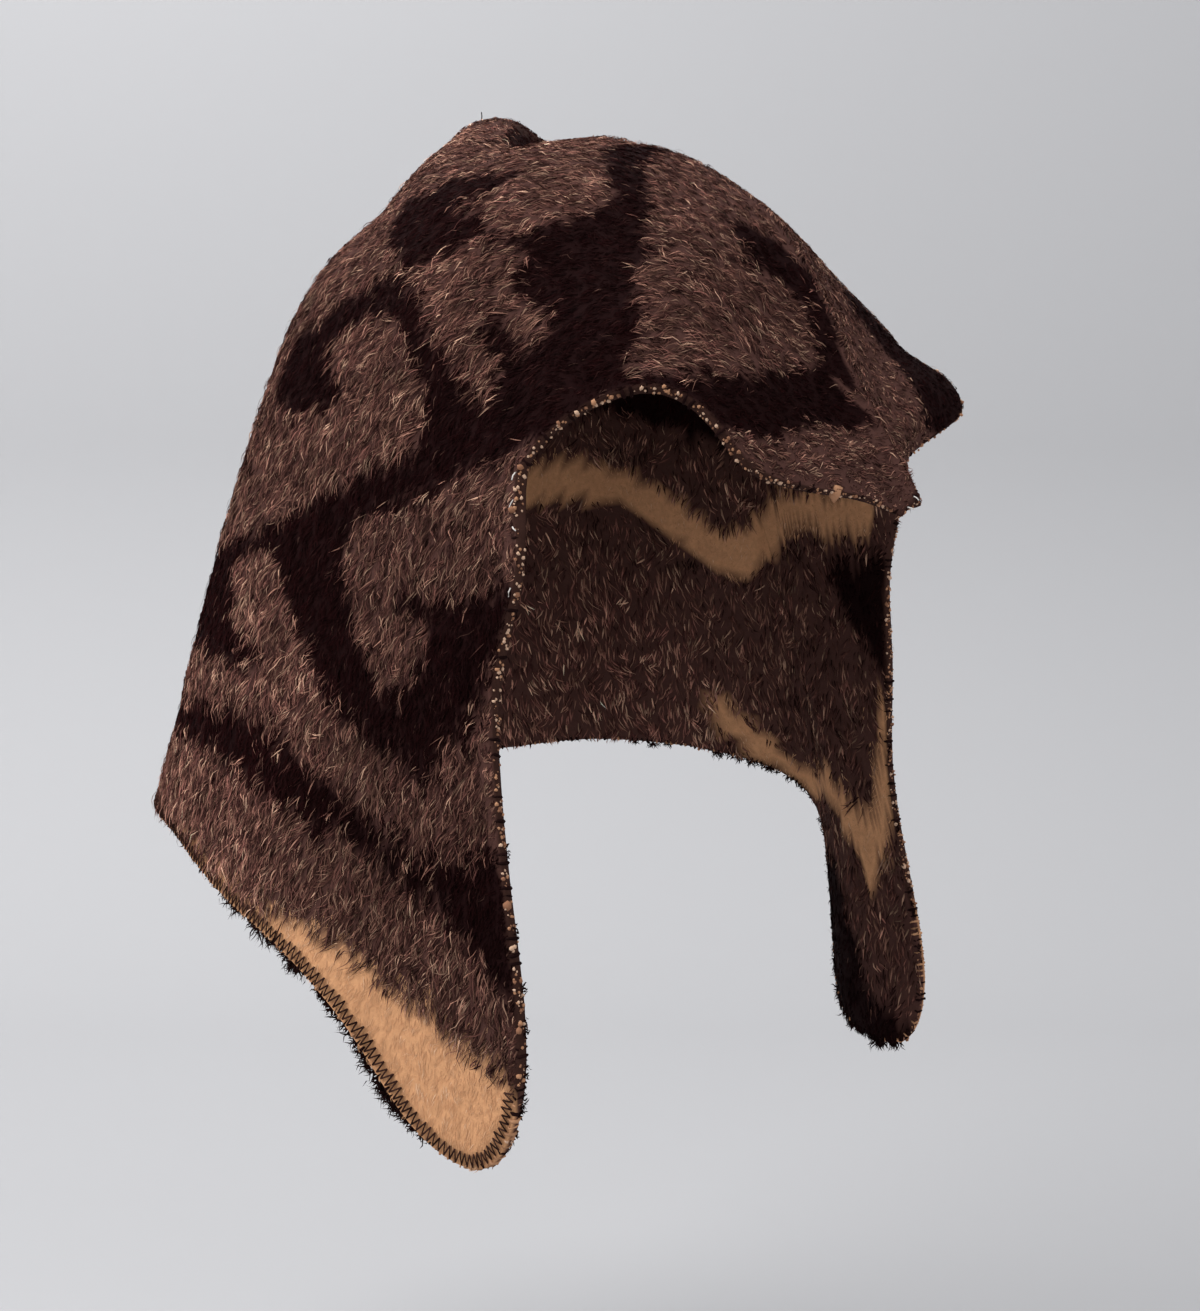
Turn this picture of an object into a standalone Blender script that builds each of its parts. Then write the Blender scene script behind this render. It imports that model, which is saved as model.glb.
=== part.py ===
"""Ear-flapped sauna hat of thick blanket cloth, in its worn form.

Two mirror-cut panels, each half a crown, half a visor and one ear flap in one
cut, meet at a centre seam that runs from the visor point over the crown to the
nape. Metres, +Z up, the hat faces -Y and the wearer's right is -X. The origin is
where the inside of the crown rests on the head.
"""

import bpy
import bmesh
import numpy as np

MM = 0.001

CLOTH_THICKNESS = 0.003
SEAM_GAP = 0.0003
SEAT_REACH = -10
SEAT_HEIGHT = 148
RIB_STEPS = 56
SPAN_STEPS = 23
FINE_STEPS = 241
MITRE_LIMIT = 1.5
SEAM_CLEARANCE = 0.0002
SHARP_DEGREES = 50

# Every rib runs along the inside of the cloth from the centre seam to the hem.
# Millimetres: out is to the side, reach is forward of the neck's axis, and
# height is above the wearer's mouth line.
COLUMNS = (
    "seam_reach", "seam_height",
    "shoulder_out", "shoulder_reach", "shoulder_height",
    "side_out", "side_reach", "side_height",
    "hem_out", "hem_reach", "hem_height",
)
RIBS = (
    ("visor_point", 134, 24, 1, 134, 23, 3, 133, 21, 5, 132, 20),
    ("visor_lip", 126, 38, 5, 127, 32, 12, 128, 28, 20, 128, 24),
    ("visor_edge", 118, 52, 9, 118, 44, 24, 122, 34, 40, 121, 26),
    ("visor_corner", 111, 65, 13, 110, 58, 34, 113, 44, 57, 114, 31),
    ("brow", 105, 78, 16, 102, 71, 43, 106, 57, 66, 106, 46),
    ("temple_top", 96, 95, 23, 93, 88, 52, 95, 73, 75, 94, 53),
    ("temple_back", 83, 113, 31, 81, 104, 62, 83, 81, 86, 77, 46),
    ("flap_root", 66, 126.5, 39, 67, 114.5, 76, 65, 73, 96, 67, 31),
    ("flap_brow", 46, 139, 46, 51, 123, 87, 49, 53, 100, 71, 3),
    ("flap_cheek", 24, 147, 51, 35, 128, 93, 34, 33, 102, 62, -32),
    ("flap_jaw", 4, 153, 55, 18, 130, 97, 21, 18, 108, 71, -75),
    ("flap_nose", -12, 154, 58, 4, 130, 99, 11, 7, 110, 81, -125),
    ("flap_toe", -26, 164, 59, -6, 129, 100, 1, 2, 110, 75, -156),
    ("flap_tip", -40, 169, 60, -13, 128, 100, -9, 0, 110, 59, -166),
    ("flap_heel", -54, 169, 60, -20, 126, 101, -18, 1, 114, 36, -156),
    ("flap_back", -66, 162, 60, -29, 122, 100, -28, 5, 120, 14, -129),
    ("side_front", -75, 147, 60, -40, 117, 99, -42, 12, 122, -12, -111),
    ("side_back", -86, 127, 61, -55, 113, 95, -61, 20, 118, -48, -100),
    ("hem_rise", -98, 103, 56, -68, 106, 89, -81, 21, 106, -92, -86),
    ("hem_corner", -108, 78, 50, -84, 90, 74, -96, 17, 90, -127, -83),
    ("back", -118, 45, 34, -103, 66, 52, -114, 5, 60, -146, -80),
    ("back_seam", -129, 2, 16, -121, 18, 27, -134, -25, 30, -154, -78),
    ("nape", -150, -73, 2, -151, -74, 4, -152, -75, 7, -154, -77),
)

# The left panel is the same cut, mirrored. These are the millimetres by which its
# side and hem hang away from the right panel's.
DRAPE_COLUMNS = COLUMNS[5:]
LEFT_DRAPE = (
    ("visor_point", 0, 0, 2, 0, 0, 2),
    ("visor_lip", 0, -7, 10, 0, -10, 14),
    ("visor_edge", 0, -3, 15, 0, -4, 22),
    ("visor_corner", 6, 0, 19, 10, 0, 26),
    ("brow", 4, -1, 14, 6, -2, 24),
    ("temple_top", 2, -1, 8, 4, -2, 16),
    ("temple_back", 1, 3, 3, 3, 6, 6),
    ("flap_root", -2, 4, -2, -6, 12, -6),
    ("flap_brow", -3, 4, -1, -10, 2, -4),
    ("flap_cheek", -2, 6, 0, -7, 10, -2),
    ("flap_jaw", -3, 10, 0, -10, 0, -4),
    ("flap_nose", -3, 16, 0, -10, 3, -18),
    ("flap_toe", -3, 22, 0, -10, 6, -14),
    ("flap_tip", -2, 29, 0, -8, 9, -12),
    ("flap_heel", 1, 36, 0, 4, 2, -18),
    ("flap_back", 4, 43, 0, 14, 9, -10),
    ("side_front", 5, 40, 0, 14, 25, 20),
    ("side_back", 4, 22, 0, 10, 20, 25),
    ("hem_rise", 1, 5, 0, 4, 6, 15),
    ("hem_corner", 0, 0, 0, 0, 0, 6),
    ("back", 0, 0, 0, 0, 0, 2),
    ("back_seam", 0, 0, 0, 0, 0, 0),
    ("nape", 0, 0, 0, 0, 0, 0),
)

# The cloth bunched at the crown's seam: where along the seam, how wide, and how
# far it rises there.
PUCKER_COLUMNS = ("reach", "half_width", "rise")
PUCKERS = (
    (76, 8, 1.0),
    (56, 8, 1.2),
    (38, 7, 1.6),
    (16, 9, 1.8),
    (-3, 6, -1.5),
    (-14, 7, -6.5),
)
PUCKER_DEPTH = 16 * MM
CROWN_FLOOR = -90 * MM
CROWN_FADE = 30 * MM

# The peak at the back of the crown and the crease that runs round under it.
PEAK_REACH = -46 * MM
PEAK_HALF_LENGTH = 25 * MM
CREASE_FROM_SEAM = 24 * MM
CREASE_HALF_WIDTH = 7 * MM
CREASE_DEPTH = 3.5 * MM

BLANKET_BROWN = (0.115, 0.067, 0.047, 1.0)
BLANKET_ROUGHNESS = 0.95


def clear_scene():
    for item in list(bpy.data.objects):
        bpy.data.objects.remove(item, do_unlink=True)


def rib_table(left):
    """Rows of numbers in the order of COLUMNS, with the left panel's drape worked in."""
    table = np.array([row[1:] for row in RIBS], dtype=float)
    if not left:
        return table
    drape = np.array([row[1:] for row in LEFT_DRAPE], dtype=float)
    table[:, COLUMNS.index(DRAPE_COLUMNS[0]):] += drape
    return table


def spline(points, knots, places):
    """Smooth curve through rows of points set at rising knots, read at the given places."""
    gap = np.diff(knots)[:, None]
    slope = np.diff(points, axis=0) / gap
    inner = (slope[:-1] * gap[1:] + slope[1:] * gap[:-1]) / (gap[:-1] + gap[1:])
    tangent = np.vstack((1.5 * slope[:1] - 0.5 * inner[:1], inner, 1.5 * slope[-1:] - 0.5 * inner[-1:]))
    start = np.clip(np.searchsorted(knots, places, side="right") - 1, 0, len(knots) - 2)
    span = gap[start]
    t = (places - knots[start])[:, None] / span
    rise = t * t * (3 - 2 * t)
    return (
        points[start] * (1 - rise)
        + points[start + 1] * rise
        + tangent[start] * span * t * (1 - t) ** 2
        - tangent[start + 1] * span * t * t * (1 - t)
    )


def travel_along(points):
    """The distance covered on reaching each point of a line."""
    steps = np.linalg.norm(np.diff(points, axis=0), axis=1)
    return np.concatenate(((0,), np.cumsum(steps)))


def rib_curve(row, count):
    """Evenly spaced points down one rib, as out, reach and height."""
    knots = np.array((
        (0, row[0], row[1]),
        row[2:5],
        row[5:8],
        row[8:11],
    ))
    travel = travel_along(knots)
    fine = spline(knots, travel, np.linspace(0, travel[-1], FINE_STEPS))
    travel = travel_along(fine)
    wanted = np.linspace(0, travel[-1], count)
    return np.stack([np.interp(wanted, travel, fine[:, k]) for k in range(3)], axis=1)


def surface_normals(points, side):
    """The directions away from the head, square to the cloth."""
    along = np.gradient(points, axis=0)
    down = np.gradient(points, axis=1)
    normal = np.cross(down, along) * side
    return normal / np.linalg.norm(normal, axis=2, keepdims=True)


def smooth_step(value):
    value = np.clip(value, 0, 1)
    return value * value * (3 - 2 * value)


def hump(value):
    return np.exp(-value * value)


def seam_travel(points):
    """How far each point lies from the seam, measured down its rib."""
    steps = np.linalg.norm(np.diff(points, axis=1), axis=2)
    return np.concatenate((np.zeros((len(points), 1)), np.cumsum(steps, axis=1)), axis=1)


def add_crown_details(points, side):
    """Puckers beside the crown's seam and the crease under the peak."""
    normal = surface_normals(points, side)
    travel = seam_travel(points)
    reach = SEAT_REACH * MM - points[:, :1, 1]
    upper = smooth_step((points[:, :1, 2] - CROWN_FLOOR) / CROWN_FADE)
    lift = np.zeros(points.shape[:2])
    for row in PUCKERS:
        pucker = dict(zip(PUCKER_COLUMNS, row))
        near = hump((reach / MM - pucker["reach"]) / pucker["half_width"])
        lift += pucker["rise"] * MM * near * hump(travel / PUCKER_DEPTH) * upper
    window = hump((reach - PEAK_REACH) / PEAK_HALF_LENGTH) * upper
    lift -= CREASE_DEPTH * hump((travel - CREASE_FROM_SEAM) / CREASE_HALF_WIDTH) * window
    return points + normal * lift[:, :, None]


def panel_surface(left):
    """The inner face of one panel as a grid of points, seam first along each rib."""
    table = rib_table(left)
    places = np.arange(len(table))
    rows = spline(table, places, np.linspace(0, len(table) - 1, RIB_STEPS + 1))
    side = 1 if left else -1
    ribs = np.array([rib_curve(row, SPAN_STEPS + 1) for row in rows])
    points = np.stack((
        side * ribs[:, :, 0],
        -(ribs[:, :, 1] - SEAT_REACH),
        ribs[:, :, 2] - SEAT_HEIGHT,
    ), axis=2) * MM
    points = add_crown_details(points, side)
    half_gap = SEAM_GAP / 2
    points[:, 0, 0] = side * half_gap
    points[:, 1:, 0] = side * np.maximum(side * points[:, 1:, 0], half_gap + SEAM_CLEARANCE)
    return points


def outer_face(points, side):
    """The same grid a cloth's thickness further out, mitred where the panels meet."""
    offset = surface_normals(points, side)
    offset[:, :, 0] *= smooth_step(seam_travel(points) / (2 * CLOTH_THICKNESS))
    length = np.linalg.norm(offset, axis=2, keepdims=True)
    mitre = np.minimum(1 / length, MITRE_LIMIT)
    outside = points + offset / length * mitre * CLOTH_THICKNESS
    outside[:, :, 0] = side * np.maximum(side * outside[:, :, 0], SEAM_GAP / 2)
    return outside


def blanket_material(name):
    material = bpy.data.materials.new(name)
    material.use_nodes = True
    shader = material.node_tree.nodes["Principled BSDF"]
    shader.inputs["Base Color"].default_value = BLANKET_BROWN
    shader.inputs["Roughness"].default_value = BLANKET_ROUGHNESS
    shader.inputs["Metallic"].default_value = 0.0
    return material


def make_panel(name, left):
    """One panel: a grid laid on the inner face, copied to the outer face and closed round the edge."""
    side = 1 if left else -1
    inner = panel_surface(left)
    outer = outer_face(inner, side)
    mesh = bpy.data.meshes.new(name)
    shell = bmesh.new()
    bmesh.ops.create_grid(shell, x_segments=RIB_STEPS, y_segments=SPAN_STEPS, size=1)
    places = {
        vert: (round((vert.co.x + 1) / 2 * RIB_STEPS), round((vert.co.y + 1) / 2 * SPAN_STEPS))
        for vert in shell.verts
    }
    copy = bmesh.ops.duplicate(shell, geom=shell.verts[:] + shell.edges[:] + shell.faces[:])
    twin = copy["vert_map"]
    for vert, place in places.items():
        vert.co = inner[place]
        twin[vert].co = outer[place]
    rims = [edge for edge in shell.edges if edge.is_boundary]
    bmesh.ops.bridge_loops(shell, edges=rims)
    bmesh.ops.recalc_face_normals(shell, faces=shell.faces[:])
    shell.to_mesh(mesh)
    shell.free()
    mesh.materials.append(blanket_material(name + "_cloth"))
    mesh.shade_smooth()
    mesh.set_sharp_from_angle(angle=np.radians(SHARP_DEGREES))
    panel = bpy.data.objects.new(name, mesh)
    bpy.context.scene.collection.objects.link(panel)
    return panel


clear_scene()
make_panel("right_panel", left=False)
make_panel("left_panel", left=True)
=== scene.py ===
"""Looks of the blanket-cloth sauna hat: napped double-faced cloth, overlocked edges and stray fibres."""

import math
from collections import namedtuple

import bmesh
import bpy
import numpy as np
from mathutils import Euler, Matrix, Vector, noise
from mathutils.bvhtree import BVHTree
from mathutils.kdtree import KDTree


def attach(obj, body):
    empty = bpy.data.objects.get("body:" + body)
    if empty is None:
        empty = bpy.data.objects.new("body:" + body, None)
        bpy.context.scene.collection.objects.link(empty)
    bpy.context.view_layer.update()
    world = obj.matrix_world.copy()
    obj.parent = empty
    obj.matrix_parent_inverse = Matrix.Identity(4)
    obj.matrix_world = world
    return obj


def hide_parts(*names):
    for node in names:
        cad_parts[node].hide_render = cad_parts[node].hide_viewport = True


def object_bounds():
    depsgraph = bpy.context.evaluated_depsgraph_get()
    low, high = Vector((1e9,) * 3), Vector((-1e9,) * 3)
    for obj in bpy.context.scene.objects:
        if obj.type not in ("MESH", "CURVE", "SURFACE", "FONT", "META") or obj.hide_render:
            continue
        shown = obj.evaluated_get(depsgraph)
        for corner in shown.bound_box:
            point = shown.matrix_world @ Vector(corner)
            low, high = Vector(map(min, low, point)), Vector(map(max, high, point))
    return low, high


# Frame
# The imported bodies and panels, which every piece below is made from or rides on.
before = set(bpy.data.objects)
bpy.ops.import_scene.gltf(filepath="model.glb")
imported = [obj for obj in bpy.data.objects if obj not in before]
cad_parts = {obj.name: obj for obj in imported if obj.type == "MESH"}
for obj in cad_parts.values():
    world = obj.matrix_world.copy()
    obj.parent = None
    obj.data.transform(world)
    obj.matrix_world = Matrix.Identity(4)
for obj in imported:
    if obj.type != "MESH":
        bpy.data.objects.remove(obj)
cad_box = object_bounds()
MM = 0.001

# Camera
# The hat is seen from its front right, from close by and a little above its middle.
CAMERA_DISTANCE = 0.54
CAMERA_TURN = math.radians(48)
CAMERA_LEVEL = -0.148
CAMERA_PITCH = math.radians(2.8)
AXIS_PLACE = (0.0, -0.010)
IMAGE_WIDTH = 1200
FOCAL_PIXELS = 1500
AXIS_PIXEL = 577.5
SENSOR_WIDTH = 36
camera_data = bpy.data.cameras.new("camera")
camera_data.sensor_fit = "HORIZONTAL"
camera_data.sensor_width = SENSOR_WIDTH
camera_data.lens = SENSOR_WIDTH * FOCAL_PIXELS / IMAGE_WIDTH
camera_data.clip_start = 0.02
camera = bpy.data.objects.new("camera", camera_data)
bpy.context.scene.collection.objects.link(camera)
camera.location = (
    AXIS_PLACE[0] - CAMERA_DISTANCE * math.sin(CAMERA_TURN),
    AXIS_PLACE[1] - CAMERA_DISTANCE * math.cos(CAMERA_TURN),
    CAMERA_LEVEL,
)
off_axis = math.atan((IMAGE_WIDTH / 2 - AXIS_PIXEL) / FOCAL_PIXELS)
camera.rotation_euler = Euler((math.pi / 2 - CAMERA_PITCH, 0, -CAMERA_TURN - off_axis))
bpy.context.scene.camera = camera

# Floor and backdrop
# A pale sheet that runs flat under the hat and curves up behind it.
FLOOR_LEVEL = cad_box[0].z - 0.17
SWEEP_WIDTH = 6.0
SWEEP_FRONT = 1.6
SWEEP_BACK = 0.6
SWEEP_RADIUS = 0.5
SWEEP_HEIGHT = 2.6
SWEEP_STEPS = 24
PAPER_COLOUR = (0.43, 0.43, 0.44, 1)
sweep = bmesh.new()
first = sweep.verts.new((-SWEEP_WIDTH / 2, -SWEEP_FRONT, 0))
second = sweep.verts.new((SWEEP_WIDTH / 2, -SWEEP_FRONT, 0))
run = [sweep.edges.new((first, second))]
moves = [Vector((0, SWEEP_FRONT + SWEEP_BACK, 0))]
arc = [
    Vector((0, math.sin(turn), 1 - math.cos(turn))) * SWEEP_RADIUS
    for turn in np.linspace(0, math.pi / 2, SWEEP_STEPS + 1)
]
moves += [after - before for before, after in zip(arc, arc[1:])]
moves.append(Vector((0, 0, SWEEP_HEIGHT)))
for move in moves:
    grown = bmesh.ops.extrude_edge_only(sweep, edges=run)["geom"]
    bmesh.ops.translate(sweep, verts=[v for v in grown if isinstance(v, bmesh.types.BMVert)], vec=move)
    run = [e for e in grown if isinstance(e, bmesh.types.BMEdge)]
turned = Matrix.Translation((0, 0, FLOOR_LEVEL)) @ Matrix.Rotation(-CAMERA_TURN, 4, "Z")
bmesh.ops.transform(sweep, matrix=turned, verts=sweep.verts[:])
bmesh.ops.recalc_face_normals(sweep, faces=sweep.faces[:])
sweep_mesh = bpy.data.meshes.new("floor")
sweep.to_mesh(sweep_mesh)
sweep.free()
sweep_mesh.shade_smooth()
floor = bpy.data.objects.new("floor", sweep_mesh)
bpy.context.scene.collection.objects.link(floor)
paper = bpy.data.materials.new("paper")
paper.use_nodes = True
paper.node_tree.nodes["Principled BSDF"].inputs["Base Color"].default_value = PAPER_COLOUR
paper.node_tree.nodes["Principled BSDF"].inputs["Roughness"].default_value = 0.9
sweep_mesh.materials.append(paper)

# Light
# Soft daylight from the upper left, a weak fill from the right and an even pale surround.
# Columns: the lamp's name, its place, its size in metres and its power in watts.
LAMPS = (
    ("window", (-1.66, 0.8, 1.15), 1.6, 40),
    ("fill", (0.2, -1.8, 0.8), 1.4, 13),
    ("above", (-0.2, 0.4, 1.7), 1.5, 26),
)
SURROUND = (0.88, 0.89, 0.92, 1)
SURROUND_STRENGTH = 0.60
hat_middle = (cad_box[0] + cad_box[1]) / 2
for name, place, size, power in LAMPS:
    lamp_data = bpy.data.lights.new(name, "AREA")
    lamp_data.shape = "DISK"
    lamp_data.size = size
    lamp_data.energy = power
    lamp = bpy.data.objects.new(name, lamp_data)
    bpy.context.scene.collection.objects.link(lamp)
    lamp.location = place
    lamp.rotation_euler = (hat_middle - Vector(place)).to_track_quat("-Z", "Y").to_euler()
world = bpy.data.worlds.new("surround")
world.use_nodes = True
world.node_tree.nodes["Background"].inputs["Color"].default_value = SURROUND
world.node_tree.nodes["Background"].inputs["Strength"].default_value = SURROUND_STRENGTH
bpy.context.scene.world = world
bpy.context.scene.view_settings.view_transform = "Standard"

# Woven figures
# Outlines in centimetres on a map unrolled round the hat: towards the visor, and up. Later
# figures lie over earlier ones. Behind the fold line the chart repeats the other way round.
MAP_CENTRE = np.array((0.0, 0.0, -0.126))
MAP_RADIUS = 11.0
FOLD_LINE = -7.6
HEATHER, DARK, CAMEL = 0, 1, 2
OUTER_FIGURES = (
    ("peak_band", DARK, (
        (-1.2, 10.2), (-0.8, 11.2), (0.8, 11.5), (2.3, 11.6), (4.4, 11.3), (3.3, 10.5), (2.2, 10.1),
        (3.0, 9.8), (4.4, 9.2), (3.2, 8.6), (2.2, 8.2), (1.5, 8.1), (0.5, 8.7), (-0.5, 9.5),
    )),
    ("diamond_roof", DARK, (
        (1.2, 8.2), (-0.5, 8.3), (-2.0, 8.0), (-3.3, 7.5), (-4.7, 6.5), (-5.4, 5.2), (-5.2, 4.2),
        (-4.2, 3.5), (-3.2, 3.6), (-1.4, 3.9), (-0.5, 4.2), (-1.3, 4.8), (-2.2, 5.2), (-2.5, 6.0),
        (-2.2, 6.7), (-0.8, 6.9), (0.6, 6.9), (1.6, 6.5), (2.0, 7.2),
    )),
    ("diamond_side", DARK, (
        (1.0, 7.6), (2.1, 7.3), (3.0, 6.1), (4.0, 5.2), (4.6, 3.0), (4.0, 1.0), (2.6, 1.6), (3.4, 2.2),
        (3.6, 3.0), (3.3, 3.9), (2.8, 4.9), (2.0, 5.8), (1.4, 6.5),
    )),
    ("front_field", DARK, (
        (5.0, 15.2), (7.0, 15.6), (7.6, 12.8), (8.1, 11.8), (8.7, 10.4), (9.1, 9.0), (9.5, 8.1),
        (9.3, 7.1), (9.6, 6.1), (9.9, 5.2), (9.8, 4.5), (9.5, 3.9), (10.2, 3.5), (11.0, 3.5),
        (12.1, 3.8), (13.0, 4.1), (13.7, 4.7), (14.6, 5.2), (15.4, 5.6), (15.9, 4.6), (16.9, 3.4),
        (16.4, 2.9), (15.6, 2.8), (15.0, 2.9), (14.3, 2.5), (13.6, 2.1), (12.9, 1.9), (12.1, 2.0),
        (11.0, 2.0), (8.0, 1.2), (7.2, 1.6), (6.0, 0.9), (4.6, 0.5), (3.8, 0.1), (2.0, -0.2),
        (0.7, -0.4), (0.3, -1.1), (0.0, -1.3), (-3.2, -1.3), (-4.6, -1.2), (-5.4, -1.9), (-8.0, -2.0),
        (-8.0, -0.9), (-6.1, -0.9), (-4.5, -0.6), (-2.6, 0.1), (-1.0, 0.7), (0.5, 1.2), (2.6, 1.6),
        (3.8, 2.6), (4.4, 5.0), (5.0, 6.5), (5.4, 7.4), (5.7, 8.2), (3.9, 8.8), (5.9, 8.9), (6.2, 9.2),
        (7.0, 9.3), (7.6, 10.3), (6.7, 11.6), (6.0, 13.0),
    )),
    ("ear_arch", DARK, (
        (-3.4, -1.1), (0.2, -1.2), (0.5, -2.0), (1.0, -2.6), (1.4, -3.5), (2.1, -4.3), (2.9, -5.1),
        (3.7, -4.7), (4.2, -4.0), (4.5, -3.4), (3.3, -3.1), (3.2, -2.6), (5.4, -2.6), (6.8, -2.0),
        (8.0, -2.2), (7.4, -3.3), (6.3, -3.9), (6.1, -4.6), (5.6, -5.5), (4.9, -6.2), (3.9, -6.7),
        (2.8, -6.3), (1.7, -6.0), (0.6, -5.5), (-0.1, -4.9), (-0.9, -4.0), (-1.9, -3.0), (-2.5, -2.2),
    )),
    ("back_foot", DARK, (
        (-8.0, -1.2), (-5.6, -1.2), (-5.0, -2.4), (-4.5, -3.3), (-3.6, -3.9), (-2.3, -4.2), (-3.3, -4.6),
        (-5.0, -4.4), (-6.3, -4.2), (-8.0, -4.1),
    )),
    ("flap_band", DARK, (
        (-8.0, -5.2), (-5.4, -5.3), (-2.7, -5.6), (-0.9, -6.1), (0.2, -6.7), (1.3, -7.2), (2.7, -7.6),
        (4.3, -7.7), (5.2, -7.4), (6.0, -7.0), (8.0, -6.6), (8.0, -8.6), (6.5, -8.7), (5.4, -8.9),
        (4.9, -8.7), (4.3, -8.4), (3.1, -8.3), (2.0, -8.0), (1.1, -7.8), (-0.3, -7.4), (-1.0, -7.1),
        (-3.2, -6.6), (-5.0, -6.3), (-8.0, -6.0),
    )),
    ("ridge_patch", DARK, (
        (11.0, 10.8), (11.8, 9.9), (12.2, 9.2), (13.0, 8.9), (13.8, 8.6), (14.4, 8.2), (14.8, 7.4),
        (15.0, 6.4), (15.4, 5.4), (16.6, 4.4), (15.8, 6.6), (15.2, 8.2), (14.2, 9.9), (13.0, 10.7),
        (12.0, 11.0),
    )),
    ("peak_edge", DARK, (
        (-5.6, 16.7), (-4.4, 17.1), (-3.2, 17.3), (-2.0, 16.7), (-0.9, 15.7), (0.2, 14.9), (1.4, 15.4),
        (-1.0, 18.0), (-5.6, 18.0),
    )),
    ("far_visor", HEATHER, (
        (11.9, 8.4), (17.6, 7.0), (17.6, 1.0), (13.0, 1.0), (12.0, 2.0), (11.6, 3.5),
    )),
    ("far_edge", DARK, (
        (10.8, 8.8), (11.9, 8.4), (12.2, 7.4), (12.9, 5.7), (13.9, 4.3), (14.4, 3.3), (13.8, 2.6),
        (12.6, 2.2), (10.8, 3.5),
    )),
    ("side_flame", HEATHER, (
        (1.9, 8.0), (2.6, 6.9), (3.5, 6.0), (4.2, 5.4), (4.6, 4.6), (5.2, 3.7), (6.0, 3.1), (6.2, 4.2),
        (5.6, 4.8), (5.1, 5.6), (5.0, 6.4), (5.7, 6.2), (6.3, 5.3), (7.0, 4.6), (7.5, 5.2), (7.1, 6.0),
        (6.2, 6.6), (5.4, 7.4), (5.9, 7.7), (5.7, 8.2), (3.9, 8.8), (3.0, 8.4),
    )),
    ("bare_tip", CAMEL, (
        (-4.6, -8.0), (-2.6, -8.4), (-1.4, -8.55), (-0.2, -8.7), (0.7, -8.8), (1.5, -9.15), (2.3, -9.55),
        (3.1, -9.75), (3.8, -9.8), (4.7, -9.85), (5.4, -9.85), (7.5, -9.7), (7.5, -14.0), (-4.6, -14.0),
    )),
)
# The figures that each side goes without.
BARE = {"right": ("far_visor", "far_edge"), "left": ("ridge_patch",)}
INNER_FIGURES = (
    ("crown_diamond", CAMEL, (
        (0.0, 13.0), (4.0, 9.5), (8.5, 7.5), (11.0, 9.0), (8.6, 9.6), (5.4, 11.4), (2.0, 15.0),
    )),
    ("crown_field", DARK, (
        (-7.0, 9.0), (-3.0, 8.2), (1.0, 7.0), (5.0, 5.4), (9.0, 4.6), (13.0, 4.4), (13.0, 2.6), (8.6, 2.2),
        (4.0, 2.6), (0.0, 4.0), (-4.0, 5.4), (-8.0, 6.0),
    )),
    ("back_zigzag", CAMEL, (
        (-8.0, 3.6), (-5.0, 3.0), (-2.4, 1.4), (0.0, -0.4), (2.4, 0.6), (5.0, 1.4), (8.0, 1.2), (8.0, -0.4),
        (5.0, -0.2), (2.4, -1.2), (0.2, -2.2), (-2.4, -0.6), (-5.0, 1.2), (-8.0, 1.8),
    )),
    ("ear_wedge", DARK, (
        (5.4, -1.8), (8.4, -1.0), (8.4, -5.0), (7.0, -4.8), (6.2, -3.4),
    )),
    ("ear_arms", CAMEL, (
        (-1.4, -5.8), (0.0, -6.6), (1.7, -7.2), (3.8, -7.8), (4.4, -8.2), (4.9, -8.6), (5.2, -8.6),
        (5.6, -8.1), (6.1, -7.5), (6.5, -6.7), (6.9, -5.6), (7.8, -5.4), (7.8, -7.6), (6.4, -8.2),
        (5.8, -8.7), (5.4, -9.2), (5.1, -9.6), (4.9, -9.8), (4.7, -9.4), (4.5, -9.1), (4.0, -8.6),
        (3.1, -8.0), (1.6, -7.6), (-0.2, -7.1), (-1.6, -6.4),
    )),
    ("dark_hem", DARK, (
        (1.0, -8.4), (3.3, -9.2), (3.7, -10.2), (4.2, -11.1), (6.2, -11.4), (6.2, -13.0), (1.0, -13.0),
    )),
)


def on_map(points):
    """Places on the unrolled map, as columns of centimetres."""
    away = points - MAP_CENTRE
    away /= np.linalg.norm(away, axis=1, keepdims=True)
    sweep_round = np.arccos(np.clip(np.abs(away[:, 0]), 0, 1))
    round_axis = np.maximum(np.hypot(away[:, 1], away[:, 2]), 1e-9)
    out = sweep_round * MAP_RADIUS / round_axis
    return np.stack((-away[:, 1] * out, away[:, 2] * out), axis=1)


def within(outline, places):
    """Which places lie inside a closed outline."""
    found = np.zeros(len(places), dtype=bool)
    for (ax, ay), (bx, by) in zip(outline, outline[1:] + outline[:1]):
        if ay == by:
            continue
        crosses = (ay > places[:, 1]) != (by > places[:, 1])
        found ^= crosses & (places[:, 0] < (bx - ax) * (places[:, 1] - ay) / (by - ay) + ax)
    return found


def figure_colours(places, figures, bare=()):
    """Heather, dark or camel for each place, without the figures named as bare."""
    colours = np.full(len(places), HEATHER)
    places = places.copy()
    places[:, 0] = FOLD_LINE + np.abs(places[:, 0] - FOLD_LINE)
    for name, colour, outline in figures:
        if name not in bare:
            colours[within(outline, places)] = colour
    return colours


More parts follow.
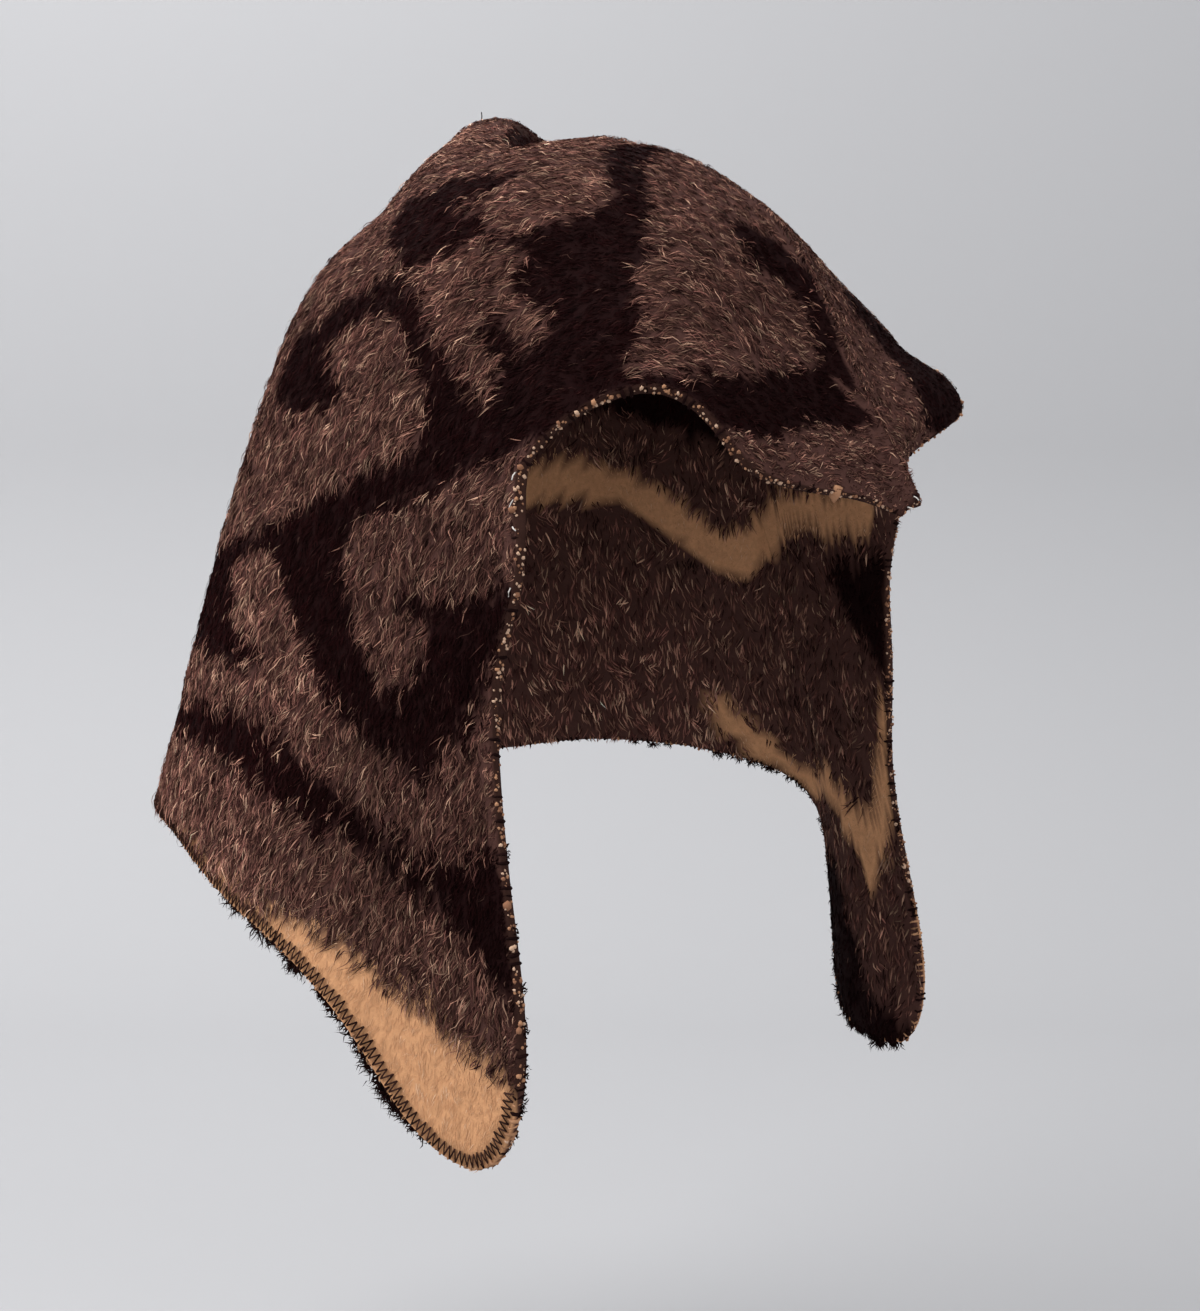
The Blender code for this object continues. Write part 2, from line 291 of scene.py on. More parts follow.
# Blanket cloth
# Two mirror-cut panels of thick double-faced wool blanket, drawn out of the plain panels:
# their triangles are paired into quads, and the surface is rounded and coloured by the chart.
OUTSIDE, INSIDE, RIM = 0, 1, 2
THICKEST_WALL = 4.6 * MM
PROBE_DEPTH = 0.1 * MM
SHARP_BEND = math.radians(40)
WELD_GAP = 0.02 * MM
QUAD_BEND = math.radians(40)
QUAD_SKEW = math.radians(60)
SPUR_POINTS = 90
SPUR_GAP = 6 * MM
SPUR_DETOUR = 1.8
HEM_STEP = 1 * MM
HEM_EVENING = 2
Hem = namedtuple("Hem", "edge normal inward travel")
SEAM_REACH = 0.3 * MM
RIM_CREASE = 0.7
CLOTH_DIVISIONS = 1
CLOTH_THICKNESS = 3 * MM
# Heather, dark and camel.
GROUND_COLOURS = np.array((
    (0.066, 0.030, 0.0245),
    (0.0090, 0.0022, 0.0022),
    (0.57, 0.295, 0.148),
))
RIM_COLOUR = (0.038, 0.017, 0.013)
STRIP_WIDTH = 4.2 * MM
STRIP_PLACES = (-8.6, -1.0)
# Painted shade: the inside face of the cloth, and the camel fibres on it, darkened where the hat shades
# itself.
INSIDE_SHADE = 0.95
MOTTLE = {"Scale": 420, "Detail": 3, "Roughness": 0.6}
MATTING = {"Scale": 1500, "Detail": 2, "Roughness": 0.7}
MOTTLE_SHADES = (0.72, 0.56)
MATTING_ROUGHNESS = (1.05, 0.2)
RELIEF_SHARES = (0.7, 0.3)
FELT_RELIEF = {"Strength": 0.6, "Distance": 0.0007}


class Value:
    """A number that a material works out over the surface."""

    def __init__(self, finish, socket):
        self.finish = finish
        self.socket = socket

    def _maths(self, operation, *values):
        made = self.finish.node("ShaderNodeMath", {"operation": operation}, dict(enumerate(values)))
        return Value(self.finish, made.outputs[0])

    def __add__(self, other):
        return self._maths("ADD", self, other)

    __radd__ = __add__

    def __mul__(self, other):
        return self._maths("MULTIPLY", self, other)

    __rmul__ = __mul__

    def __rsub__(self, other):
        return self._maths("SUBTRACT", other, self)


class Finish:
    """A material that is put together node by node."""

    def __init__(self, name):
        self.material = bpy.data.materials.new(name)
        self.material.use_nodes = True
        self.surface = self.material.node_tree.nodes["Principled BSDF"]

    def node(self, kind, settings=None, sockets=None):
        made = self.material.node_tree.nodes.new(kind)
        for setting, value in (settings or {}).items():
            setattr(made, setting, value)
        self.feed(made, sockets or {})
        return made

    def feed(self, node, sockets):
        for key, value in sockets.items():
            if isinstance(value, Value):
                value = value.socket
            if isinstance(value, bpy.types.NodeSocket):
                self.material.node_tree.links.new(value, node.inputs[key])
            else:
                node.inputs[key].default_value = value

    def shaded(self, colour, shade):
        """The colour made lighter or darker by a number that changes over the surface."""
        mixed = self.node("ShaderNodeVectorMath", {"operation": "SCALE"}, {0: colour, "Scale": shade})
        return mixed.outputs[0]


def blanket_finish():
    """Matted wool under the nap: the chart's colours, darker on the inside face as painted shade, mottled,
    with fine felted bumps.
    """
    finish = Finish("napped_blanket")
    place = finish.node("ShaderNodeTexCoord").outputs["Object"]
    dyed = finish.node("ShaderNodeAttribute", {"attribute_name": "wool"}).outputs["Color"]
    mottle_node = finish.node("ShaderNodeTexNoise", None, {"Vector": place, **MOTTLE})
    matting_node = finish.node("ShaderNodeTexNoise", None, {"Vector": place, **MATTING})
    mottle = Value(finish, mottle_node.outputs["Fac"])
    matting = Value(finish, matting_node.outputs["Fac"])
    shade = MOTTLE_SHADES[0] + MOTTLE_SHADES[1] * mottle
    height = mottle * RELIEF_SHARES[0] + matting * RELIEF_SHARES[1]
    bump = finish.node("ShaderNodeBump", None, {**FELT_RELIEF, "Height": height})
    finish.feed(finish.surface, {
        "Base Color": finish.shaded(dyed, shade),
        "Roughness": MATTING_ROUGHNESS[0] - MATTING_ROUGHNESS[1] * matting,
        "Normal": bump.outputs[0],
        "Specular IOR Level": 0.05,
    })
    return finish.material


def side_regions(panel):
    """The faces of a panel in groups that are parted by its sharp edges."""
    found = {}
    regions = []
    for start in panel.faces:
        if start in found:
            continue
        found[start] = True
        region = [start]
        for face in region:
            for edge in face.edges:
                if edge.calc_face_angle(math.pi) < SHARP_BEND:
                    fresh = [near for near in edge.link_faces if near not in found]
                    found.update((near, True) for near in fresh)
                    region.extend(fresh)
        regions.append(region)
    return sorted(regions, key=len, reverse=True)


def panel_sides(panel):
    """Marks each face of a panel as outside, inside or rim."""
    tree = BVHTree.FromBMesh(panel)
    regions = side_regions(panel)
    for face in panel.faces:
        face.material_index = RIM
    for region in regions[:2]:
        outwards = sum(face.normal.dot(face.calc_center_median() - Vector(MAP_CENTRE)) for face in region)
        for face in region:
            face.material_index = OUTSIDE if outwards > 0 else INSIDE
    for region in regions[2:]:
        near = {other.material_index for face in region for edge in face.edges for other in edge.link_faces}
        near.discard(RIM)
        starts = [face.calc_center_median() - face.normal * PROBE_DEPTH for face in region]
        thin = [
            tree.ray_cast(start, -face.normal, THICKEST_WALL)[0] for start, face in zip(starts, region)
        ]
        if len(near) == 1 and None not in thin:
            kind = near.pop()
            for face in region:
                face.material_index = kind


def marked_panel(node):
    """A copy of a panel's mesh in quads, with its sides marked."""
    panel = bmesh.new()
    panel.from_mesh(node.data)
    bmesh.ops.remove_doubles(panel, verts=panel.verts[:], dist=WELD_GAP)
    for face in panel.faces:
        face.smooth = True
    panel_sides(panel)
    bmesh.ops.join_triangles(
        panel, faces=panel.faces[:], angle_face_threshold=QUAD_BEND,
        angle_shape_threshold=QUAD_SKEW, cmp_materials=True,
    )
    return panel


def rounded_cloth(panel, name, material):
    """A finer, rounded mesh of a marked panel."""
    crease = panel.edges.layers.float.new("crease_edge")
    for edge in panel.edges:
        if len({face.material_index for face in edge.link_faces}) > 1:
            edge[crease] = RIM_CREASE
    coarse = bpy.data.meshes.new(name + "_coarse")
    for kind in (OUTSIDE, INSIDE, RIM):
        coarse.materials.append(material)
    panel.to_mesh(coarse)
    holder = bpy.data.objects.new(name + "_coarse", coarse)
    bpy.context.scene.collection.objects.link(holder)
    rounding = holder.modifiers.new("rounding", "SUBSURF")
    rounding.levels = CLOTH_DIVISIONS
    rounding.render_levels = CLOTH_DIVISIONS
    fine = bpy.data.meshes.new_from_object(holder.evaluated_get(bpy.context.evaluated_depsgraph_get()))
    bpy.data.objects.remove(holder, do_unlink=True)
    bpy.data.meshes.remove(coarse)
    fine.name = name
    return fine


def numbers(collection, field, width, kind=np.float64):
    """A field of a mesh's vertices, faces or corners as an array."""
    found = np.empty(len(collection) * width, dtype=kind)
    collection.foreach_get(field, found)
    return found.reshape(-1, width) if width > 1 else found


def paint(mesh, colours):
    """Writes one colour a vertex, which the materials read as wool; on the cloth and the nap it holds
    painted light and shade as well.
    """
    layer = mesh.color_attributes.new("wool", "FLOAT_COLOR", "POINT")
    opaque = np.column_stack((colours, np.ones(len(colours))))
    layer.data.foreach_set("color", opaque.astype(np.float32).ravel())


def point_tree(points):
    """A tree that finds the nearest of the points."""
    tree = KDTree(len(points))
    for index, point in enumerate(points):
        tree.insert(point, index)
    tree.balance()
    return tree


def bare_strip(places, hem_gap):
    """Where the camel core shows along the back hem, above the edge stitches."""
    return (hem_gap < STRIP_WIDTH) & (places[:, 0] > STRIP_PLACES[0]) & (places[:, 0] < STRIP_PLACES[1])


def side_colours(mesh, side):
    """The ground colour of each vertex, by the chart of the side that it is on."""
    points = numbers(mesh.vertices, "co", 3)
    places = on_map(points)
    outer_kinds = figure_colours(places, OUTER_FIGURES, BARE[side])
    hem = point_tree(HEMS[side].edge)
    outer_kinds[bare_strip(places, np.array([hem.find(point)[2] for point in points]))] = CAMEL
    # The inside face is darkened a little as painted shade.
    inside = GROUND_COLOURS[figure_colours(places, INNER_FIGURES)] * INSIDE_SHADE
    kinds = np.zeros((len(points), 3), dtype=bool)
    for face in mesh.polygons:
        kinds[list(face.vertices), face.material_index] = True
    colours = np.where(kinds[:, OUTSIDE:OUTSIDE + 1], GROUND_COLOURS[outer_kinds], inside)
    bound = kinds[:, RIM] & (np.abs(points[:, 0]) > SEAM_REACH) & (outer_kinds != CAMEL)
    colours[bound] = RIM_COLOUR
    return colours


def border(panel, kind):
    """Steps from vertex to vertex along the border of one side, apart from the seam."""
    steps = {}
    for edge in panel.edges:
        kinds = [face.material_index for face in edge.link_faces]
        on_seam = max(abs(vert.co.x) for vert in edge.verts) < SEAM_REACH
        if kinds.count(kind) == 1 and not on_seam:
            for vert in edge.verts:
                steps.setdefault(vert, []).append(edge.other_vert(vert))
    return steps


def without_spurs(points):
    """The same line without the stretches where it runs off and comes back close by."""
    kept = [0]
    while kept[-1] < len(points) - 1:
        here = kept[-1]
        ahead = points[here:here + SPUR_POINTS]
        gone = np.cumsum(np.linalg.norm(np.diff(ahead, axis=0), axis=1))
        apart = np.linalg.norm(ahead[1:] - ahead[0], axis=1)
        spurs = np.flatnonzero((gone > SPUR_DETOUR * apart) & (apart < SPUR_GAP))
        kept.append(here + 1 + (spurs[-1] if len(spurs) else 0))
    return points[kept]


def evened(lines, reach):
    """Lines of numbers, each averaged with its neighbours."""
    padded = np.pad(lines, ((reach, reach), (0, 0)), mode="edge")
    return sum(padded[k:k + len(lines)] for k in range(2 * reach + 1)) / (2 * reach + 1)


def hem_lines(mesh, side_sign):
    """The hem from the visor round to the nape: its outer edge, the cloth's normal and the way in."""
    panel = bmesh.new()
    panel.from_mesh(mesh)
    steps = border(panel, OUTSIDE)
    ends = [vert for vert in steps if abs(vert.co.x) < SEAM_REACH]
    start = min(ends, key=lambda vert: vert.co.y)
    came_from = {start: None}
    reached = [start]
    for vert in reached:
        fresh = [near for near in steps[vert] if near not in came_from]
        came_from.update((near, vert) for near in fresh)
        reached.extend(fresh)
    chain = [max((vert for vert in ends if vert in came_from), key=lambda vert: vert.co.y)]
    while came_from[chain[-1]] is not None:
        chain.append(came_from[chain[-1]])
    points = without_spurs(np.array([vert.co[:] for vert in reversed(chain)]))
    panel.free()
    gone = np.concatenate(((0,), np.cumsum(np.linalg.norm(np.diff(points, axis=0), axis=1))))
    travel = np.arange(0, gone[-1], HEM_STEP)
    columns = [np.interp(travel, gone, points[:, axis]) for axis in range(3)]
    edge = evened(np.stack(columns, axis=1), HEM_EVENING)
    outer_faces = [tuple(face.vertices) for face in mesh.polygons if face.material_index == OUTSIDE]
    tree = BVHTree.FromPolygons([vert.co[:] for vert in mesh.vertices], outer_faces)
    normal = evened(np.array([tree.find_nearest(Vector(point))[1][:] for point in edge]), 2 * HEM_EVENING)
    normal /= np.linalg.norm(normal, axis=1, keepdims=True)
    inward = np.cross(normal, np.gradient(edge, axis=0)) * side_sign
    inward /= np.linalg.norm(inward, axis=1, keepdims=True)
    return Hem(edge, normal, inward, travel)


PANELS = {}
HEMS = {}
blanket = blanket_finish()
for side in ("right", "left"):
    panel = marked_panel(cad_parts[side + "_panel"])
    cloth_mesh = rounded_cloth(panel, side + "_cloth", blanket)
    panel.free()
    HEMS[side] = hem_lines(cloth_mesh, 1 if side == "left" else -1)
    paint(cloth_mesh, side_colours(cloth_mesh, side))
    cloth_mesh.shade_smooth()
    cloth = bpy.data.objects.new(side + "_cloth", cloth_mesh)
    bpy.context.scene.collection.objects.link(cloth)
    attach(cloth, "root")
    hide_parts(side + "_panel")
    PANELS[side] = cloth

# Nap
# The brushed wool pile of both faces: fibres combed backwards and down, clinging together
# in small tapered locks, with longer wavy hairs over them. Each is a pointed ribbon.
NAP_SEED = 7
PATCHES = ("crown", "flap")
Pile = namedtuple("Pile", "count stations length width lift wave lock_pull pale")
OUTER_PILE = Pile(104000, (0.0, 0.45, 1.0), 6.2 * MM, 0.41 * MM, 0.75 * MM, 0.0, 0.62, 1.0)
WAVY_HAIRS = Pile(6500, (0.0, 0.25, 0.5, 0.75, 1.0), 7.0 * MM, 0.24 * MM, 1.25 * MM, 0.45 * MM, 0.1, 1.3)
STRAY_HAIRS = Pile(
    170, (0.0, 0.15, 0.3, 0.45, 0.6, 0.8, 1.0), 11 * MM, 0.15 * MM, 1.5 * MM, 1.1 * MM, 0.0, 2.4,
)
INNER_PILE = Pile(24000, (0.0, 0.45, 1.0), 6.2 * MM, 0.72 * MM, 0.5 * MM, 0.0, 0.25, 1.1)
LOCKS_PER_FIBRE = 0.075
# How the nap lies over the map: how far it leans backwards in degrees, how long it is and
# how much painted light brightens its wool, most on the back, the peak and the crown.
LAY_COLUMNS = ("forward", "up", "right_lean", "left_lean", "right_length", "left_length", "painted_light_tone")
LAY = (
    (4, -10, 14, 0, 1.0, 1.0, 0.84),
    (-5, -6, 12, 5, 1.0, 1.0, 1.65),
    (6, -3, 10, 0, 0.95, 0.9, 0.92),
    (0, 0, 16, 5, 1.0, 1.0, 1.08),
    (-4, 6, 24, 10, 0.95, 0.9, 1.15),
    (4, 4, 30, 10, 1.0, 0.9, 1.05),
    (7, 5, 45, 0, 1.0, 0.8, 1.05),
    (3, 9, 50, 20, 0.85, 0.7, 1.3),
    (-2, 12, 55, 50, 0.6, 0.6, 1.3),
    (-4, 16, 60, 60, 0.35, 0.35, 1.9),
    (2, 14, 66, 60, 0.5, 0.4, 1.35),
    (6, 11, 70, 60, 0.7, 0.4, 1.15),
    (8, 8, 74, 30, 0.75, 0.4, 1.0),
    (9, 4, 66, 0, 0.75, 0.5, 1.0),
    (12, 7, 66, -60, 0.75, 0.35, 1.0),
    (12, 12, 66, -60, 0.5, 0.35, 1.0),
    (15, 6, 55, -60, 0.6, 0.35, 1.0),
    (14, 2, 46, -60, 0.6, 0.5, 1.0),
)
# Columns: share of the fibres, then the fibre's colour.
HEATHER_FIBRES = (
    (0.28, (0.036, 0.0137, 0.0120)),
    (0.40, (0.107, 0.0451, 0.0353)),
    (0.24, (0.205, 0.1020, 0.0730)),
    (0.08, (0.350, 0.2080, 0.1430)),
)
DARK_FIBRES = (
    (0.94, (0.0100, 0.0020, 0.0021)),
    (0.05, (0.026, 0.0090, 0.0080)),
    (0.01, (0.080, 0.0400, 0.0300)),
)
CAMEL_FIBRES = (
    (0.78, (0.57, 0.300, 0.155)),
    (0.17, (0.61, 0.340, 0.185)),
    (0.05, (0.72, 0.460, 0.290)),
)
FIBRE_MIXES = (HEATHER_FIBRES, DARK_FIBRES, CAMEL_FIBRES)
# Heather, dark and camel wool in turn.
KIND_LENGTHS = (1.0, 0.8, 0.6)
KIND_LIFTS = (1.0, 0.8, 0.15)
KIND_WIDTHS = (1.0, 1.0, 0.5)
KIND_ROLLS = (0.4, 0.4, 0.10)
KIND_CONTRASTS = (1.0, 0.5, 0.11)
LOCK_COLOUR_SHARE = 0.3
FIBRE_SPREAD = 0.28
CLOUDS = ((0.50, 9 * MM), (0.45, 3.5 * MM))
# Painted shade at a fibre's root, where the fibres over it shade it, and painted light at its tip.
ROOT_SHADE = 0.42
TIP_SHADE = 1.14
CHART_SHIFT = 0.5
LOCK_SCATTER = 0.15
FIBRE_SCATTER = 0.12
SEAM_FRINGE = 2.6 * MM
SEAM_CROSSING = 0.6
SEAM_LEAN = 0.8
HEM_CLEARANCE = 6 * MM
HEM_LENGTH_SHARE = 0.42
DOWN_SPREAD = 0.35
LAY_SOFTNESS = 0.3
CLOUD_SHIFT = (1.7, 2.3, 3.1)
# How far the locks differ, and the fibres in them: spreads, or least and most.
LOCK_TURN = 0.22
LOCK_CURL = 0.42
LOCK_LENGTHS = (0.7, 1.25)
LOCK_SHADE = 0.17
LOCK_LIFTS = (0.4, 1.6)
FIBRE_TURN = 0.20
FIBRE_CURL = 0.28
FIBRE_LENGTHS = (0.7, 1.15)
FIBRE_LIFTS = (0.5, 1.4)
FIBRE_WIDTHS = (0.6, 1.4)
LEAST_LIFT = 0.35
ROOT_DEPTH = 0.25 * MM
PILE_CLEARANCE = 0.12 * MM
# How much of that painted root shade and tip light camel fibres get.
CAMEL_SHADE_SHARE = 0.2
# How a fibre runs from its root to its tip.
SHADE_BEND = 0.8
GATHER_BEND = 1.4
SWING_RATE = 9
ARCH_TURN = 2.5
GIRTH_TURNS = (0.5, 2.0)
TIP_EASING = 0.4
Locks = namedtuple("Locks", "centre turn curl length shade lift draw stray")


def nap_finish(name):
    """Dull wool in the colours painted on the fibres."""
    finish = Finish(name)
    dyed = finish.node("ShaderNodeAttribute", {"attribute_name": "wool"}).outputs["Color"]
    finish.feed(finish.surface, {"Base Color": dyed, "Roughness": 0.9, "Specular IOR Level": 0.03})
    return finish.material


def unit(vectors):
    """The vectors, one unit long."""
    return vectors / np.maximum(np.linalg.norm(vectors, axis=-1, keepdims=True), 1e-9)


def flattened(vectors, normals):
    """The vectors laid onto the surface, one unit long."""
    return unit(vectors - normals * (vectors * normals).sum(axis=1, keepdims=True))


def scattered_roots(mesh, kind, count, rng):
    """Roots spread evenly over one side of the cloth, with the cloth's normals there."""
    mesh.calc_loop_triangles()
    corners = numbers(mesh.loop_triangles, "vertices", 3, np.int32)
    faces = numbers(mesh.loop_triangles, "polygon_index", 1, np.int32)
    corners = corners[numbers(mesh.polygons, "material_index", 1, np.int32)[faces] == kind]
    points = numbers(mesh.vertices, "co", 3)
    normals = numbers(mesh.vertex_normals, "vector", 3)
    a, b, c = points[corners[:, 0]], points[corners[:, 1]], points[corners[:, 2]]
    area = np.linalg.norm(np.cross(b - a, c - a), axis=1)
    picked = rng.choice(len(corners), count, p=area / area.sum())
    u, v = rng.random(count), rng.random(count)
    folded = u + v > 1
    u[folded], v[folded] = 1 - u[folded], 1 - v[folded]
    share = np.stack((1 - u - v, u, v), axis=1)[:, :, None]
    roots = (points[corners[picked]] * share).sum(axis=1)
    up = (normals[corners[picked]] * share).sum(axis=1)
    return roots, unit(up)


def side_tree(mesh, kind):
    """A tree of the faces on one side of the cloth."""
    faces = [tuple(face.vertices) for face in mesh.polygons if face.material_index == kind]
    return BVHTree.FromPolygons([vert.co[:] for vert in mesh.vertices], faces)


def hugging(tree, points, heights):
    """Points moved along the cloth's normal until they stand at the given heights over it."""
    moved = points.copy()
    for index, (point, height) in enumerate(zip(points.tolist(), heights.tolist())):
        place = Vector(point)
        nearest, normal = tree.find_nearest(place)[:2]
        moved[index] = place + normal * (height - (place - nearest).dot(normal))
    return moved


def read_lay(places, column):
    """A column of the table of the nap's lay, blended between its nearest rows."""
    table = np.array(LAY, dtype=float)
    apart = ((places[:, None, :] - table[None, :, :2]) ** 2).sum(axis=2) + LAY_SOFTNESS
    weight = 1 / apart ** 2
    return (weight * table[:, LAY_COLUMNS.index(column)]).sum(axis=1) / weight.sum(axis=1)


def lay_of(places, roots, normals, side):
    """Which way the nap is combed: down, leaning backwards as the table says."""
    turn = np.radians(read_lay(places, side + "_lean"))[:, None]
    down = np.zeros_like(roots)
    down[:, 2] = -1
    down[:, 0] = np.sign(roots[:, 0]) * DOWN_SPREAD
    back = np.zeros_like(roots)
    back[:, 1] = 1
    leaning = flattened(down, normals) * np.cos(turn) + flattened(back, normals) * np.sin(turn)
    return flattened(leaning, normals)


def cloudy(points, size, seed):
    """Soft patches of a size, from -1 to 1."""
    shift = Vector([seed * part for part in CLOUD_SHIFT])
    return np.array([noise.noise(Vector(point) / size + shift) for point in points.tolist()])


def ribbon_mesh(name, lines, widths, sideways, colours):
    """Ribbons along lines of points: two points at each station and one at the tip."""
    count, stations = lines.shape[:2]
    reach = sideways[:, None, :] * widths[:, :, None] / 2
    pairs = np.stack((lines - reach, lines + reach), axis=2).reshape(count, stations * 2, 3)[:, :-1]
    pairs[:, -1] = lines[:, -1]
    faces = []
    for k in range(0, stations * 2 - 4, 2):
        faces += [(k, k + 1, k + 2), (k + 2, k + 1, k + 3)]
    faces.append((stations * 2 - 4, stations * 2 - 3, stations * 2 - 2))
    faces = np.array(faces)[None] + np.arange(count)[:, None, None] * pairs.shape[1]
    mesh = bpy.data.meshes.new(name)
    mesh.from_pydata(pairs.reshape(-1, 3), [], faces.reshape(-1, 3).tolist())
    paint(mesh, np.repeat(colours, 2, axis=1)[:, :-1].reshape(-1, 3))
    return mesh


def mixed_fibres(kinds, draw):
    """A colour for each fibre, picked from the mix of its figure by a draw from 0 to 1."""
    colours = np.zeros((len(kinds), 3))
    for kind, mix in enumerate(FIBRE_MIXES):
        shares = np.cumsum([share for share, colour in mix])
        shades = np.array([colour for share, colour in mix])
        mine = kinds == kind
        colours[mine] = shades[np.minimum(np.searchsorted(shares, draw[mine]), len(mix) - 1)]
    return colours


def gathered_locks(roots, rng):
    """The lock that each fibre clings to: the lock's centre, and what its fibres share."""
    count = int(len(roots) * LOCKS_PER_FIBRE)
    centres = point_tree(roots[:count])
    lock = np.array([centres.find(root)[1] for root in roots])
    return Locks(
        roots[lock],
        rng.normal(0, LOCK_TURN, count)[lock],
        rng.normal(0, LOCK_CURL, count)[lock],
        rng.uniform(*LOCK_LENGTHS, count)[lock],
        rng.normal(0, LOCK_SHADE, count)[lock],
        rng.uniform(*LOCK_LIFTS, count)[lock],
        rng.random(count)[lock],
        rng.normal(0, LOCK_SCATTER, (count, 2))[lock],
    )


def fibre_headings(roots, normals, places, side, locks, rng):
    """Which way each fibre points along the cloth. Near the seam some lie across it."""
    lay = lay_of(places, roots, normals, side)
    across = np.cross(normals, lay)
    turn = (locks.turn + rng.normal(0, FIBRE_TURN, len(roots)))[:, None]
    heading = lay * np.cos(turn) + across * np.sin(turn)
    crossing = (np.abs(roots[:, 0]) < SEAM_FRINGE) & (rng.random(len(roots)) < SEAM_CROSSING)
    heading[crossing, 0] = -SEAM_LEAN * np.sign(roots[crossing, 0])
    return flattened(heading, normals)


def fibre_colours(pile, kind, kinds, roots, places, locks, rng):
    """The colours of each fibre from root to tip, with painted light and shade: lighter where the lay table
    says, darker inside the hat, darker towards the root.
    """
    count = len(roots)
    stations = np.array(pile.stations)[None, :]
    contrast = np.array(KIND_CONTRASTS)[kinds]
    clouds = sum(share * cloudy(roots, size, NAP_SEED) for share, size in CLOUDS)
    shade = contrast * (locks.shade + rng.normal(0, FIBRE_SPREAD, count) + clouds)
    # Camel fibres inside the hat are darkened as painted shade; the rest take the lay table's painted light,
    # times the pile's paleness.
    camel_inside_shade = 1.0 if kind == OUTSIDE else INSIDE_SHADE
    painted_light_tone = np.where(kinds == CAMEL, camel_inside_shade, read_lay(places, "painted_light_tone") * pile.pale)
    draw = np.where(rng.random(count) < LOCK_COLOUR_SHARE, locks.draw, rng.random(count))
    # Painted shade darkens each fibre towards its root, where the fibres over it shade it, and painted light
    # brightens its tip.
    along = ROOT_SHADE + (TIP_SHADE - ROOT_SHADE) * stations ** SHADE_BEND
    along = 1 + (along - 1) * np.where(kinds == CAMEL, CAMEL_SHADE_SHARE, 1.0)[:, None]
    fibres = mixed_fibres(kinds, draw)[:, None, :] * (np.exp(shade) * painted_light_tone)[:, None, None]
    return np.clip(fibres * along[:, :, None], 0, 1)


def comb(pile, mesh, kind, hem, side, figures, bare, rng):
    """Grows a pile on one side of the cloth: lines, widths, sideways directions and colours."""
    count = pile.count
    roots, normals = scattered_roots(mesh, kind, count, rng)
    places = on_map(roots)
    locks = gathered_locks(roots, rng)
    heading = fibre_headings(roots, normals, places, side, locks, rng)
    across = np.cross(normals, heading)

    hem_gap = np.array([hem.find(root)[2] for root in roots])
    near_hem = np.clip(hem_gap / HEM_CLEARANCE, HEM_LENGTH_SHARE, 1)
    length = pile.length * read_lay(places, side + "_length") * near_hem
    middle = roots + heading * (CHART_SHIFT * length)[:, None]
    strayed = on_map(middle) + locks.stray + rng.normal(0, FIBRE_SCATTER, places.shape)
    kinds = figure_colours(strayed, figures, bare)
    kinds[figure_colours(places, figures, bare) == CAMEL] = CAMEL
    if kind == OUTSIDE:
        kinds[bare_strip(places, hem_gap)] = CAMEL
    length *= np.array(KIND_LENGTHS)[kinds] * locks.length * rng.uniform(*FIBRE_LENGTHS, count)
    lift = pile.lift * locks.lift * rng.uniform(*FIBRE_LIFTS, count)
    lift = lift * np.clip(length / pile.length, LEAST_LIFT, 1)
    lift *= np.array(KIND_LIFTS)[kinds]

    stations = np.array(pile.stations)[None, :]
    curl = (locks.curl + rng.normal(0, FIBRE_CURL, count)) * length
    swing = rng.uniform(0, 2 * np.pi, count)[:, None] + stations * SWING_RATE
    bend = stations ** 2 * (1 - TIP_EASING * stations) * curl[:, None] + np.sin(swing) * pile.wave
    to_lock = locks.centre - roots
    gather = to_lock - normals * (to_lock * normals).sum(axis=1, keepdims=True)
    lines = (
        roots[:, None, :]
        + heading[:, None, :] * (stations * length[:, None])[:, :, None]
        + across[:, None, :] * bend[:, :, None]
        + gather[:, None, :] * (stations ** GATHER_BEND * pile.lock_pull)[:, :, None]
    )
    lines[:, 0] -= normals * ROOT_DEPTH
    heights = PILE_CLEARANCE + np.sin(stations * ARCH_TURN) * lift[:, None]
    tree = side_tree(mesh, kind)
    lines[:, 1:] = hugging(tree, lines[:, 1:].reshape(-1, 3), heights[:, 1:].ravel()).reshape(count, -1, 3)
    girth = np.sin(GIRTH_TURNS[0] + stations * GIRTH_TURNS[1]) * (1 - TIP_EASING * stations)
    broad = rng.uniform(*FIBRE_WIDTHS, count) * np.array(KIND_WIDTHS)[kinds]
    widths = pile.width * broad[:, None] * girth
    roll = (rng.normal(0, 1, count) * np.array(KIND_ROLLS)[kinds])[:, None]
    sideways = across * np.cos(roll) + normals * np.sin(roll)
    return lines, widths, sideways, fibre_colours(pile, kind, kinds, roots, places, locks, rng)


def add_piece(name, mesh, material, side):
    """Links a finished mesh, which rides on the hat's body, and notes which panel it is on."""
    mesh.materials.append(material)
    piece = bpy.data.objects.new(name, mesh)
    bpy.context.scene.collection.objects.link(piece)
    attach(piece, "root")
    WORN_ON[side].append(piece)


